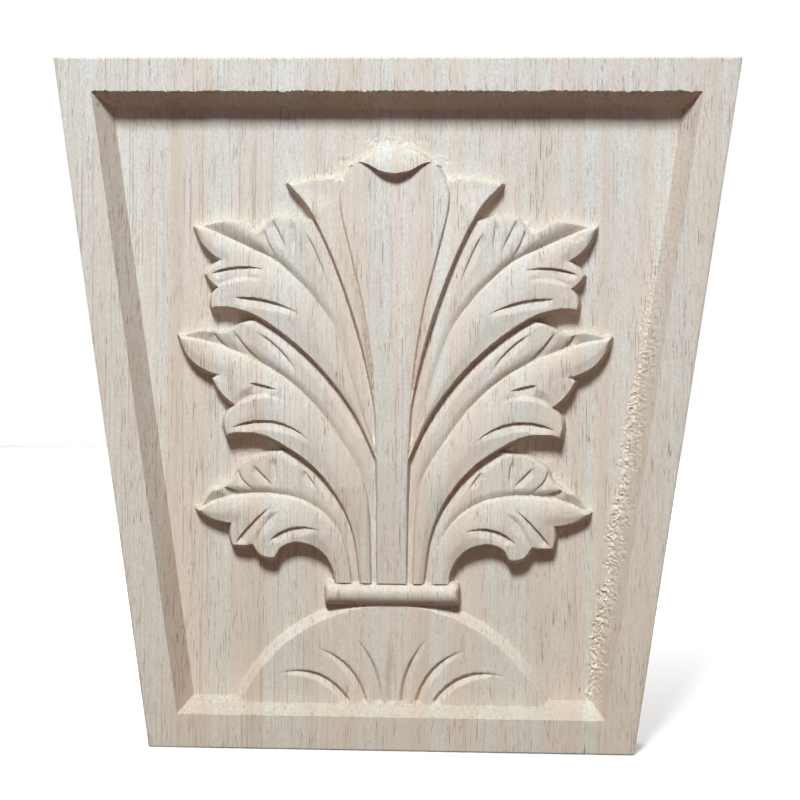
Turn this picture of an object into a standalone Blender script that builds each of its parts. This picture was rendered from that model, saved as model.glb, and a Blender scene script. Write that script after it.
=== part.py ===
"""Carved wood applique: one tapered board with a sunk field and an acanthus spray.

The board stands upright. Its back is flat and lies on the plane y = 0, the carving faces -Y,
+X is to the right and +Z is up. The origin is the centre of the back face.

The carving is drawn in millimetres on the plane of the board, as (out, up): out is the distance
from the upright centre line, the same to the left and to the right, and up is measured from the
middle of the board. Heights are measured from the floor of the sunk field towards the front.
"""

from collections import namedtuple

import bmesh
import bpy
import numpy as np

MM = 0.001

# The board
BOARD_HEIGHT = 240.0
TOP_WIDTH = 237.2
BOTTOM_WIDTH = 169.0
THICKNESS = 20.0
TOP_RAIL = 11.6
BOTTOM_RAIL = 11.8
SIDE_STILE = 11.5
FIELD_DEPTH = 9.7
WALL_RUN = 5.0

# The carver's tools
LEAF_WALL_SLOPE = 0.27
EDGE_ROUNDING = 0.8
# A cut is as deep as this at its middle, so wide on each side of its line, and tapers over
# these shares of its length.
Tool = namedtuple("Tool", "depth widths ends")
VEIN = Tool(1.3, (0.9, 2.6), (.15, .35))
HOLLOW = Tool(1.0, (2.6, 1.7), (.3, .5))
FLUTE = Tool(1.0, (0.9, 1.8), (.2, .4))
STROKE = Tool(1.3, (1.2, 2.0), (.5, .05))
CUT_WAIST = 0.4
OVERHANG_DIP = 1.6
OVERHANG_REACH = 4.5
REACH = 3.0
# This keeps a share finite where two lines meet.
TINY = 1e-6

# The tie band and the mound below the spray
BAND_LEVEL = -66.0
BAND_HALF_WIDTH = 4.3
BAND_HALF_LENGTH = 23.8
BAND_END = 2.2
BAND_CORNER = 4
BAND_SEAT = 2.4
BAND_RISE = 3.5
BAND_FULLNESS = 0.7
MOUND_CENTRE = -127.8
MOUND_RADIUS = 60.8
MOUND_HEIGHT = 3.4
MOUND_BEVEL = 3.2
STEM_FOOT = -62.4

# The mesh
GRID_STEP = 0.8
TRIANGLE_BUDGET = 9400
STEPS_PER_SPAN = 6

WOOD_COLOUR = (0.66, 0.58, 0.47, 1.0)
WOOD_ROUGHNESS = 0.62

# A leaf is a raised body below its midrib and a lower, fluted blade above it.
# body_arcs runs from the tip round the lobes, as (out, up, bulge): bulge is the rise of the arc
# to the next point over half its chord. A vein, hollow or flute is (out, up, out, up, bulge).
# The blade dips along the edge of the form above it, which the line "above" follows.
Leaf = namedtuple("Leaf", "body_arcs underside midrib brow roof above veins hollows flutes "
                          "heights")
# Heights above the floor: at the tip, along the body and at the stem, of the midrib's groove,
# of the facet above the tip's groove, of the blade, and along the blade's outer edge from the
# tip inwards.
Heights = namedtuple("Heights", "tip body stem groove facet blade brow")

LOWER_LEAF = Leaf(
    body_arcs=[(68.9, -37, .2), (56.4, -41.6, .18), (56, -49.4, .1), (48.6, -49, .42),
               (41, -53.6, 0)],
    underside=[(41, -53.6), (39, -50.2), (34.4, -48.2), (28.8, -49), (23.8, -52.2),
               (20.7, -57.5), (19.8, STEM_FOOT)],
    midrib=[(68.9, -37), (66.3, -35.6), (63, -33.8), (57, -32), (48, -31), (38.6, -31.5),
            (30, -33.8), (22.2, -39.3), (16.5, -48), (13.8, STEM_FOOT)],
    brow=[(68.9, -37), (66.9, -33.8), (64.2, -29.7), (60.4, -28.4), (56.5, -25),
          (54.2, -20.5), (49, -17.3), (40, -15.5)],
    roof=[(28, -18), (18, -30), (9, -45), (9, STEM_FOOT)],
    above=[(54.5, -9.9), (47.5, -10.2), (40, -13), (28, -21.2), (19, -32.2), (13.5, -45),
           (11, STEM_FOOT)],
    veins=[(54.9, -48.8, 42.4, -35.6, -.06), (43, -47.9, 25.4, -44, -.3)],
    hollows=[(39.6, -37.4, 47.6, -49, .22)],
    flutes=[(60.6, -28.4, 53.5, -30.9, .1), (54.6, -21, 48.6, -29.6, .31),
            (41.9, -18.6, 41.5, -29.8, -.13), (49.2, -21.2, 41.6, -28.6, .05),
            (31.4, -22.8, 26.4, -29.6, 0)],
    heights=Heights(tip=4.4, body=6.0, stem=4.8, groove=2.9, facet=4.9, blade=4.4,
                    brow=(4.4, 4.8, 4.8, 4.5, 4.3, 4.2, 4.2)),
)

MIDDLE_LEAF = Leaf(
    body_arcs=[(75.5, 24.1, .32), (61.1, 10.2, .05), (63.2, 8.9, .16), (55.1, -.4, .42),
               (58, -10.7, 0)],
    underside=[(58, -10.7), (54.5, -9.9), (47.5, -10.2), (40, -13), (28, -21.2),
               (19, -32.2), (13.5, -45), (11, STEM_FOOT)],
    midrib=[(75.5, 24.1), (70, 23.2), (64.5, 22), (57.5, 19.6), (50, 16.6), (39.3, 10.6),
            (31, 3.8), (23.5, -4.5), (11.6, -22.6), (8, -36), (7, STEM_FOOT)],
    brow=[(75.5, 24.1), (70.4, 26.2), (65.9, 26.9), (60.5, 26.2), (57.3, 27.2), (51, 30.2),
          (40, 31)],
    roof=[(30, 25), (14, 5), (4, -20), (3.5, STEM_FOOT)],
    above=[(58, 33.9), (48, 31), (36, 22.9), (24, 11.6), (13.7, -2.2), (5.6, -19),
           (3.5, STEM_FOOT)],
    veins=[(56.2, -8.2, 28.8, -12.6, -.32), (50, 7.4, 40.4, 5.1, -.03)],
    hollows=[(56.5, -1, 37, .8, -.4)],
    flutes=[(63.4, 26, 57.2, 19.4, .21), (56.4, 26.2, 46.6, 15.2, .1),
            (47.8, 25.2, 33.4, 10.6, -.13)],
    heights=Heights(tip=4.6, body=6.6, stem=5.0, groove=3.3, facet=5.0, blade=5.0,
                    brow=(4.6, 5, 5.1, 5.1, 5, 4.9, 4.8)),
)

UPPER_LEAF = Leaf(
    body_arcs=[(70, 62.3, .23), (60.4, 50.4, .16), (65.8, 45.5, .2), (61.3, 40.9, .31),
               (63.6, 33.7, 0)],
    underside=[(63.6, 33.7), (58, 33.9), (48, 31), (36, 22.9), (24, 11.6), (13.7, -2.2),
               (5.6, -19)],
    midrib=[(70, 62.3), (66.5, 62), (60.3, 59.4), (54.3, 56.7), (48.9, 54.2), (44, 52),
            (39.7, 49.3), (34.8, 44.9), (27, 36.6), (18, 21.8), (5, -19)],
    brow=[(70, 62.3), (64.6, 64.1), (58.6, 65.4), (54.2, 64.5), (50.5, 62.3), (47.2, 61.8),
          (43, 66.3), (37, 66.5), (28, 65.5)],
    roof=[(22, 65), (14, 45), (8, 20), (4, -19)],
    above=[(29.6, 68.2), (20.9, 50.5), (12.6, 27.2), (7, 4), (5.6, -10)],
    veins=[(55.6, 37.2, 32.8, 31.7, -.13), (64, 45.5, 45, 47, -.15)],
    hollows=[(62, 41.4, 46, 43.4, -.27)],
    flutes=[(45.9, 62.3, 40.8, 51.2, .12), (42.9, 65.2, 37, 52.8, 0),
            (31.1, 60.4, 22.8, 41.4, -.04), (35.2, 64, 34.4, 52, 0)],
    heights=Heights(tip=4.6, body=6.9, stem=7.0, groove=3.7, facet=5.8, blade=5.5,
                    brow=(4.6, 5.4, 5.6, 5.5, 5.3, 5.2, 5.1)),
)

# How the groove, the crest, the facet and the banks run from one end of a leaf to the other
GROOVE_STOPS = (0, .35, .75, 1)
GROOVE_STEP = 1.2
CREST_STOPS = (0, .3, .72, 1)
CREST_SHARE = 0.6
RIB_LIP = 0.9
RIB_LIP_WIDTH = 0.9
EDGE_FALL = 0.5
FACET_STOPS = (0, .08, .2, .32)
BANK_STOPS = (0, .3, 1)
BANK_WIDTHS = (8.0, 3.0, 2.4)
LEAST_BANK = 0.8
BROW_FADE = 9.0
BROW_MARGIN = 0.5

# The two lobes beside the tongue, the tongue itself and its curled lip
FLANK_EDGE = [(37.2, 77.3), (29.6, 68.2), (20.9, 50.5), (12.6, 27.2), (7, 4), (5.6, -10)]
FLANK_TOP = [(37.2, 77.3, -.15), (17, 79, 0)]
FLANK_HEIGHTS = (4.6, 6.4, 7.6, 6.6)
FLANK_HEIGHT_STOPS = (0, .15, .6, 1)
FLANK_FADE_LINE = [(33, 79.5), (17, 80.5)]
FLANK_FADE = 12.0
FLANK_FOOT = 4.6
FLANK_DISH = 3.0
TONGUE_EDGE = [(14.8, 83.4), (18.6, 75), (18.3, 67), (14.2, 50), (9.8, 31), (6.7, 7),
               (5.3, -27), (5.1, STEM_FOOT)]
TONGUE_LEVELS = (STEM_FOOT, -20, 20, 60, 84)
TONGUE_RIMS = (4.8, 6.8, 6.8, 5.8, 4.4)
TONGUE_DISHES = (0, 0, 1.2, 1.8, 1.8)
TONGUE_DISH_SHARE = 0.8
LIP_EDGE = [(15, 83.6), (12.5, 84.5), (9.6, 84), (5, 81.6), (0, 80.6)]
LIP_TOP = [(15, 83.6, -.25), (0, 91, 0)]
LIP_HEIGHTS = (3.8, 5.4, 6.6)
LIP_HEIGHT_STOPS = (0, .3, 1)
LIP_DROP = 0.35

# The strokes cut in the mound, from their free end down to the foot
MOUND_STROKES = [(40, -94.7, 14.7, -104.8, -.35), (26.2, -85.4, 8.9, -105, -.27),
                 (12.4, -81.7, 3.9, -105, -.17), (0, -81.5, 0, -105, 0)]


def ease(value):
    """Run smoothly from 0 to 1 as value goes from 0 to 1."""
    t = np.clip(value, 0, 1)
    return t * t * (3 - 2 * t)


def rolled(value):
    """Rise steeply from 0 and level off at 1."""
    return 1 - (1 - np.clip(value, 0, 1))**2


def curve_through(points):
    """Return a smooth line through the points, with the same steps in each span."""
    knots = np.array(points, float)
    knots = np.vstack([2 * knots[0] - knots[1], knots, 2 * knots[-1] - knots[-2]])
    t = np.arange(STEPS_PER_SPAN)[:, None] / STEPS_PER_SPAN
    spans = []
    for a, b, c, d in zip(knots, knots[1:], knots[2:], knots[3:]):
        bend = (2 * a - 5 * b + 4 * c - d) * t**2 + (3 * b - a - 3 * c + d) * t**3
        spans.append(b + ((c - a) * t + bend) / 2)
    return np.vstack(spans + [knots[-2:-1]])


def arc_chain(points):
    """Return a line of arcs from corner to corner of (out, up, bulge) points."""
    t = np.arange(STEPS_PER_SPAN)[:, None] / STEPS_PER_SPAN
    spans = []
    for (*start, bulge), (*end, _) in zip(points, points[1:]):
        chord = np.subtract(end, start)
        rise = np.array((-chord[1], chord[0])) * bulge
        spans.append(start + chord * t + rise * 2 * t * (1 - t))
    return np.vstack(spans + [[points[-1][:2]]])


def arc_line(stroke):
    """Return the line of one vein or stroke, given as (out, up, out, up, bulge)."""
    return arc_chain([(stroke[0], stroke[1], stroke[4]), (stroke[2], stroke[3], 0)])


def measure(places, line):
    """Return each place's distance to the line, its share of the way along, and its side."""
    out, up = places.T
    nearest = np.full(len(places), np.inf)
    along = np.zeros(len(places))
    side = np.ones(len(places))
    lengths = np.linalg.norm(np.diff(line, axis=0), axis=1)
    starts = np.concatenate([[0], np.cumsum(lengths)])
    for a, b, length, start in zip(line, line[1:], lengths, starts):
        run = (b - a) / length
        reach = np.clip((out - a[0]) * run[0] + (up - a[1]) * run[1], 0, length)
        off_out = out - a[0] - reach * run[0]
        off_up = up - a[1] - reach * run[1]
        distance = np.hypot(off_out, off_up)
        closer = distance < nearest
        nearest[closer] = distance[closer]
        along[closer] = (start + reach[closer]) / starts[-1]
        side[closer] = np.where(run[0] * off_up[closer] < run[1] * off_out[closer], -1, 1)
    return nearest, along, side


def inside(places, outline):
    """Tell which places lie within a closed outline."""
    out, up = places.T
    within = np.zeros(len(places), bool)
    for (out_a, up_a), (out_b, up_b) in zip(outline, np.roll(outline, -1, axis=0)):
        if up_a == up_b:
            continue
        crossing = out_a + (out_b - out_a) * (up - up_a) / (up_b - up_a)
        within ^= ((up_a > up) != (up_b > up)) & (out < crossing)
    return within


def near(places, *lines):
    """Tell which places lie within reach of the box round some lines."""
    points = np.vstack(lines)
    low = points.min(axis=0) - REACH
    high = points.max(axis=0) + REACH
    return np.all((places > low) & (places < high), axis=1)


def cut(places, stroke, tool):
    """Return the depth of a tapering V cut, with one width for each side of its line."""
    line = arc_line(stroke)
    deep = np.zeros(len(places))
    close = near(places, line)
    distance, along, side = measure(places[close], line)
    width = np.where(side < 0, *tool.widths)
    taper = np.minimum(along / tool.ends[0], 1) * np.minimum((1 - along) / tool.ends[1], 1)
    width = width * (CUT_WAIST + (1 - CUT_WAIST) * taper)
    deep[close] = tool.depth * taper * np.clip(1 - distance / width, 0, 1)
    return deep


def groove_height(leaf, from_stem):
    """Return the height of the midrib's groove, from the stem to the tip."""
    heights = leaf.heights
    return np.interp(from_stem, GROOVE_STOPS,
                     [heights.stem - GROOVE_STEP, heights.groove + GROOVE_STEP, heights.groove,
                      heights.tip - GROOVE_STEP])


def leaf_body(places, leaf):
    """Return the height of a leaf's body: a band that swells from its midrib to its edge."""
    edge = np.vstack([arc_chain(leaf.body_arcs)[:-1], curve_through(leaf.underside)])
    midrib = curve_through(leaf.midrib)
    to_rib, along, _ = measure(places, midrib)
    to_edge, _, _ = measure(places, edge)
    within = inside(places, np.vstack([edge, midrib[::-1]]))
    across = np.where(within, to_rib / (to_rib + to_edge + TINY), to_rib > to_edge)
    heights = leaf.heights
    crest = np.interp(1 - along, CREST_STOPS,
                      [heights.stem, heights.body, heights.body, heights.tip])
    groove = groove_height(leaf, 1 - along)
    height = groove + RIB_LIP * rolled(to_rib / RIB_LIP_WIDTH)
    height += (crest - groove - RIB_LIP) * rolled(across / CREST_SHARE)
    height -= EDGE_FALL * ease((across - CREST_SHARE) / (1 - CREST_SHARE))
    height -= EDGE_ROUNDING * np.clip(1 - to_edge / EDGE_ROUNDING, 0, 1)**2 * (to_edge < to_rib)
    for vein in leaf.veins:
        height -= cut(places, vein, VEIN)
    for hollow in leaf.hollows:
        height -= cut(places, hollow, HOLLOW)
    fall = np.minimum(to_rib, to_edge) / LEAF_WALL_SLOPE
    return np.where(within, height, height - fall)


def leaf_blade(places, leaf):
    """Return the height of a leaf's blade, which fades from the midrib to the brow."""
    brow = curve_through(leaf.brow)
    midrib = curve_through(leaf.midrib)
    heights = leaf.heights
    to_rib, along, _ = measure(places, midrib)
    to_brow, along_brow, _ = measure(places, brow)
    within = inside(places, np.vstack([brow, leaf.roof, midrib[::-1]]))
    groove = groove_height(leaf, 1 - along)
    plateau = np.interp(along, FACET_STOPS,
                        [heights.tip, heights.facet, heights.facet, heights.blade])
    plateau = np.maximum(plateau, groove + LEAST_BANK)
    bank = np.interp(along, BANK_STOPS, BANK_WIDTHS)
    height = groove + (plateau - groove) * rolled(to_rib / bank)
    brow_height = np.interp(along_brow, np.linspace(0, 1, len(heights.brow)), heights.brow)
    faded = brow_height + (height - brow_height) * ease((to_brow + BROW_MARGIN) / BROW_FADE)
    to_above, _, _ = measure(places, curve_through(leaf.above))
    height = np.minimum(height, faded) - OVERHANG_DIP * (1 - ease(to_above / OVERHANG_REACH))
    for flute in leaf.flutes:
        height -= cut(places, flute, FLUTE)
    outside = np.where(to_brow < to_rib, 0, height - to_rib / LEAF_WALL_SLOPE)
    return np.where(within, np.minimum(height, to_brow / LEAF_WALL_SLOPE), outside)


def flank_lobe(places):
    """Return the height of the lobe beside the tongue, highest along its outer edge."""
    edge = curve_through(FLANK_EDGE)
    top = arc_chain(FLANK_TOP)
    tongue = curve_through(TONGUE_EDGE)
    tongue = tongue[(tongue[:, 1] <= FLANK_TOP[-1][1]) & (tongue[:, 1] >= FLANK_EDGE[-1][1])]
    to_edge, along, _ = measure(places, edge)
    to_top, _, _ = measure(places, top)
    to_tongue, _, _ = measure(places, tongue)
    within = inside(places, np.vstack([edge[::-1], top, tongue]))
    across = np.where(within, to_tongue / (to_tongue + to_edge + TINY), to_tongue > to_edge)
    height = np.interp(along, FLANK_HEIGHT_STOPS, FLANK_HEIGHTS)
    height = height - FLANK_DISH * (1 - rolled(across))
    height -= EDGE_ROUNDING * np.clip(1 - to_edge / EDGE_ROUNDING, 0, 1)**2
    to_fade, _, _ = measure(places, curve_through(FLANK_FADE_LINE))
    faded = FLANK_FOOT + (height - FLANK_FOOT) * ease(to_fade / FLANK_FADE)
    height = np.minimum(height, faded)
    to_side = np.minimum(to_edge, to_tongue)
    outside = np.where(to_top < to_side, 0, height - to_side / LEAF_WALL_SLOPE)
    return np.where(within, np.minimum(height, to_top / LEAF_WALL_SLOPE), outside)


def tongue_lobe(places):
    """Return the height of the middle lobe: a dished tongue that narrows to a stem."""
    edge = curve_through(TONGUE_EDGE)
    lip = curve_through(LIP_EDGE)
    to_edge, _, _ = measure(places, edge)
    to_lip, _, _ = measure(places, lip)
    within = inside(places, np.vstack([lip[::-1], edge, [(0, STEM_FOOT)]]))
    out, up = places.T
    half_width = np.interp(up, edge[::-1, 1], edge[::-1, 0])
    across = np.clip(out / half_width, 0, 1)
    dish = np.interp(up, TONGUE_LEVELS, TONGUE_DISHES) * (1 - ease(across / TONGUE_DISH_SHARE))
    height = np.interp(up, TONGUE_LEVELS, TONGUE_RIMS) - dish
    height -= EDGE_ROUNDING * np.clip(1 - to_edge / EDGE_ROUNDING, 0, 1)**2
    fall = np.minimum(to_edge, to_lip) / LEAF_WALL_SLOPE
    return np.where(within, height, height - fall)


def curled_lip(places):
    """Return the height of the lip that curls over the top of the tongue."""
    edge = curve_through(LIP_EDGE)
    top = arc_chain(LIP_TOP)
    to_edge, along, _ = measure(places, edge)
    to_top, _, _ = measure(places, top)
    within = inside(places, np.vstack([edge, top[::-1]]))
    across = to_edge / (to_edge + to_top + TINY)
    crest = np.interp(along, LIP_HEIGHT_STOPS, LIP_HEIGHTS)
    roll = crest * (1 - LIP_DROP * across**2)
    outside = np.where(to_edge < to_top, crest - to_edge / LEAF_WALL_SLOPE, 0)
    return np.where(within, np.minimum(roll, to_top / LEAF_WALL_SLOPE), outside)


def tie_band(places):
    """Return the height of the low rounded band that ties the stems."""
    out, up = places.T
    beyond = np.clip(out - (BAND_HALF_LENGTH - BAND_END), 0, None) / BAND_END
    off_level = np.abs(up - BAND_LEVEL) / BAND_HALF_WIDTH
    share = (off_level**BAND_CORNER + beyond**BAND_CORNER)**(1 / BAND_CORNER)
    roll = np.clip(1 - share**2, 0, 1)**BAND_FULLNESS
    return np.where(share < 1, BAND_SEAT + BAND_RISE * roll, 0)


def mound(places):
    """Return the height of the bevelled mound and the strokes that fan up it."""
    out, up = places.T
    inward = MOUND_RADIUS - np.hypot(out, up - MOUND_CENTRE)
    height = np.clip(inward / MOUND_BEVEL, 0, 1) * MOUND_HEIGHT
    for stroke in MOUND_STROKES:
        height -= cut(places, stroke, STROKE)
    return np.clip(height, 0, None)


def spray_forms():
    """List the forms of the spray, each with the lines that bound it."""
    tongue = curve_through(TONGUE_EDGE)
    forms = [(flank_lobe, (), FLANK_EDGE, tongue), (curled_lip, (), LIP_EDGE, [LIP_TOP[-1][:2]]),
             (tongue_lobe, (), tongue, [(0, 0)])]
    for leaf in (LOWER_LEAF, MIDDLE_LEAF, UPPER_LEAF):
        body = arc_chain(leaf.body_arcs)
        forms.append((leaf_body, (leaf,), body, leaf.underside, leaf.midrib))
        forms.append((leaf_blade, (leaf,), leaf.brow, leaf.roof, leaf.midrib))
    return forms


def carving_height(places):
    """Return the height of the highest form at each place."""
    spray = np.zeros(len(places))
    for form, details, *lines in spray_forms():
        close = near(places, *lines)
        spray[close] = np.maximum(spray[close], form(places[close], *details))
    spray[places[:, 1] < BAND_LEVEL] = 0
    return np.maximum(np.maximum(spray, mound(places)), tie_band(places))


def half_width(up):
    """Return half the board's width at a level."""
    share = up / BOARD_HEIGHT + .5
    return (BOTTOM_WIDTH + (TOP_WIDTH - BOTTOM_WIDTH) * share) / 2


def stile_stretch():
    """Return how much a width square to the sloping side grows along the level."""
    return np.hypot(1, (TOP_WIDTH - BOTTOM_WIDTH) / 2 / BOARD_HEIGHT)


def field_floor(places):
    """Return the depth of the sunk field and its sloping walls at each place."""
    out, up = places.T
    from_side = (half_width(up) - out) / stile_stretch() - SIDE_STILE
    from_top = BOARD_HEIGHT / 2 - TOP_RAIL - up
    from_bottom = up + BOARD_HEIGHT / 2 - BOTTOM_RAIL
    inward = np.minimum(from_side, np.minimum(from_top, from_bottom))
    return FIELD_DEPTH * np.clip(inward / WALL_RUN, 0, 1)


def front_depth(places):
    """Return how far the front surface lies below the rim at each place, to the micrometre."""
    depth = np.minimum(field_floor(places), FIELD_DEPTH - carving_height(places))
    return np.round(depth, 3)


def stops(lengths):
    """Return positions from 0, region by region, about a grid step apart."""
    counts = [max(1, round(length / GRID_STEP)) for length in lengths]
    positions = [0.0]
    for length, count in zip(lengths, counts):
        positions += [positions[-1] + length / count * (k + 1) for k in range(count)]
    return np.array(positions)


def put_in_order(shape):
    """Number the vertices, edges and faces by their places, so that each run is the same."""
    count = len(shape.verts)
    rank = np.empty(count, int)
    rank[np.lexsort(np.array([vert.co for vert in shape.verts]).T)] = np.arange(count)
    shape.verts.index_update()
    shape.verts.sort(key=lambda vert: rank[vert.index])
    shape.verts.index_update()

    def place_number(part):
        low = sorted(vert.index for vert in part.verts)
        return (low[0] * count + low[1]) * count + low[-1]

    shape.edges.sort(key=place_number)
    shape.faces.sort(key=place_number)


def board_mesh():
    """Return the closed board: a fitted grid carved in front, with sides and a flat back."""
    up_stops = stops([BOTTOM_RAIL, WALL_RUN,
                      BOARD_HEIGHT - BOTTOM_RAIL - TOP_RAIL - 2 * WALL_RUN,
                      WALL_RUN, TOP_RAIL]) - BOARD_HEIGHT / 2
    stile = SIDE_STILE * stile_stretch()
    wall = WALL_RUN * stile_stretch()
    middle = half_width(0) - stile - wall
    out_stops = stops([middle, wall, stile])
    across = np.concatenate([-out_stops[:0:-1], out_stops])

    shape = bmesh.new()
    bmesh.ops.create_grid(shape, x_segments=len(across) - 1, y_segments=len(up_stops) - 1,
                          size=1)
    places = np.array([vert.co[:2] for vert in shape.verts])
    columns = np.rint((places[:, 0] + 1) / 2 * (len(across) - 1)).astype(int)
    rows = np.rint((places[:, 1] + 1) / 2 * (len(up_stops) - 1)).astype(int)
    up = up_stops[rows]
    out = across[columns]
    edge_of_field = half_width(up) - stile - wall
    sign = np.sign(out)
    out = np.abs(out)
    out = np.where(out <= middle, out * edge_of_field / middle, out - middle + edge_of_field)
    depth = front_depth(np.stack([out, up], axis=1))
    for vert, x, y, z in zip(shape.verts, out * sign, depth - THICKNESS, up):
        vert.co = (x * MM, y * MM, z * MM)

    rim = [edge for edge in shape.edges if edge.is_boundary]
    walls = bmesh.ops.extrude_edge_only(shape, edges=rim)["geom"]
    for vert in walls:
        if isinstance(vert, bmesh.types.BMVert):
            vert.co.y = 0
    put_in_order(shape)
    back = [edge for edge in shape.edges if edge.is_boundary]
    bmesh.ops.contextual_create(shape, geom=back)
    bmesh.ops.recalc_face_normals(shape, faces=shape.faces)
    bmesh.ops.triangulate(shape, faces=shape.faces)
    mesh = bpy.data.meshes.new("carved_panel")
    shape.to_mesh(mesh)
    shape.free()
    return mesh


def wood_material():
    """Return the pale wood."""
    material = bpy.data.materials.new("pale_wood")
    material.use_nodes = True
    shader = material.node_tree.nodes["Principled BSDF"]
    shader.inputs["Base Color"].default_value = WOOD_COLOUR
    shader.inputs["Roughness"].default_value = WOOD_ROUGHNESS
    shader.inputs["Metallic"].default_value = 0.0
    return material


def build():
    """Model the panel in its own collection."""
    for old in list(bpy.data.objects):
        bpy.data.objects.remove(old, do_unlink=True)
    collection = bpy.data.collections.new("carved_wood_applique")
    bpy.context.scene.collection.children.link(collection)
    mesh = board_mesh()
    mesh.materials.append(wood_material())
    panel = bpy.data.objects.new("carved_panel", mesh)
    collection.objects.link(panel)
    thinning = panel.modifiers.new("thinning", "DECIMATE")
    thinning.ratio = TRIANGLE_BUDGET / len(mesh.polygons)


build()
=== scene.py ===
from collections import namedtuple
from math import radians

import bpy
import numpy as np
from bpy.props import FloatProperty, FloatVectorProperty, IntProperty, PointerProperty
from bpy.types import Operator, Panel, PropertyGroup
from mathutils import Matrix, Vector


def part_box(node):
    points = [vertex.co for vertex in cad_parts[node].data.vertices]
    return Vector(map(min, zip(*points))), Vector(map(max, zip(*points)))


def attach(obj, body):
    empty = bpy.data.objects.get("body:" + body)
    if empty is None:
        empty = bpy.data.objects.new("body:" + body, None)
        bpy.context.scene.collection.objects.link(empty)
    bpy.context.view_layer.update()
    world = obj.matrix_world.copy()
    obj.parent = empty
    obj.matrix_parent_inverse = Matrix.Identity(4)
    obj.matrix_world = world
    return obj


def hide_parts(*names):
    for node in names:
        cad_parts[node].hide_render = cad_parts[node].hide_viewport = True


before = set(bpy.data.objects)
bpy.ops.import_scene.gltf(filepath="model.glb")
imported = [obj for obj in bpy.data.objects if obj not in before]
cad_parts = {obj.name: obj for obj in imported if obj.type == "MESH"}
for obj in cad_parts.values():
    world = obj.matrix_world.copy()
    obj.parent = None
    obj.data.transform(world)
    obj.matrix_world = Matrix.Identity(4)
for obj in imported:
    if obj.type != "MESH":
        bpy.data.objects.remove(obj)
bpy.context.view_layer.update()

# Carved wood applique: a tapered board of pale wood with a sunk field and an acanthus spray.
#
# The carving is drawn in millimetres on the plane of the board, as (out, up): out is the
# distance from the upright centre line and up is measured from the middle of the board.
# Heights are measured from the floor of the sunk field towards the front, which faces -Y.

bl_info = {
    "name": "Carved wood applique",
    "version": (1, 0, 0),
    "blender": (4, 5, 0),
    "location": "3D View > Sidebar > Applique",
    "description": "Carves a tapered panel with an acanthus spray and finishes it in pale wood",
    "category": "Add Mesh",
}

MM = 0.001
PANEL_NODE = "carved_panel"
PANEL_NAME = "acanthus_applique"
BOARD_LOW, BOARD_HIGH = (np.array(corner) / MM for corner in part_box(PANEL_NODE))
TOP_WIDTH, THICKNESS, BOARD_HEIGHT = BOARD_HIGH - BOARD_LOW

# The carver's tools, in millimetres
LEAF_WALL_SLOPE = 0.27
EDGE_ROUNDING = 0.3
# A cut is as deep as this at its middle, so wide on each side of its line, and tapers over
# these shares of its length. Its waist is the share of that width that its ends keep.
Tool = namedtuple("Tool", "depth widths ends")
VEIN = Tool(1.15, (0.5, 3.0), (.15, .35))
HOLLOW = Tool(0.95, (2.8, 1.7), (.3, .5))
FLUTE = Tool(0.85, (0.6, 2.2), (.2, .4))
STROKE = Tool(1.3, (1.2, 2.0), (.5, .05))
CUT_WAIST = 0.4
OVERHANG_DIP = 1.6
OVERHANG_REACH = 4.5
# Forms and cuts are worked out within this distance of the box round their lines.
REACH = 3.0
# This keeps a share finite where two lines meet.
TINY = 1e-6

# The tie band and the mound below the spray
BAND_LEVEL = -66.0
BAND_HALF_WIDTH = 4.3
BAND_HALF_LENGTH = 23.8
BAND_END = 2.2
BAND_CORNER = 4
BAND_SEAT = 2.4
BAND_RISE = 3.5
BAND_FULLNESS = 0.7
MOUND_CENTRE = -127.8
MOUND_RADIUS = 60.8
MOUND_HEIGHT = 3.4
MOUND_BEVEL = 3.2
STEM_FOOT = -62.4

# How many steps a curve or an arc has from one of its points to the next
STEPS_PER_SPAN = 8

# A leaf is a raised body below its midrib and a lower, fluted blade above it.
# body_arcs runs from the tip round the lobes, as (out, up, bulge): bulge is the rise of the arc
# to the next point over half its chord. A vein, hollow or flute is (out, up, out, up, bulge).
# The blade dips along the edge of the form above it, which the line "above" follows.
Leaf = namedtuple("Leaf", "body_arcs underside midrib brow roof above veins hollows flutes "
                          "heights")
# Heights above the floor: at the tip, along the body and at the stem, of the midrib's groove,
# of the facet above the tip's groove, of the blade, and along the blade's outer edge from the
# tip inwards.
Heights = namedtuple("Heights", "tip body stem groove facet blade brow")

# The edge of the lobe beside the tongue and the undersides of the two upper leaves, each from
# its free end inwards
FLANK_EDGE = [(37.2, 77.3), (29.6, 68.2), (20.9, 50.5), (12.6, 27.2), (7, 4), (5.6, -10)]
UPPER_UNDERSIDE = [(63.6, 33.7), (58, 33.9), (48, 31), (36, 22.9), (24, 11.6), (13.7, -2.2),
                   (5.6, -19)]
MIDDLE_UNDERSIDE = [(58, -10.7), (54.5, -9.9), (47.5, -10.2), (40, -13), (28, -21.2),
                    (19, -32.2), (13.5, -45), (11, STEM_FOOT)]

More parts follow.
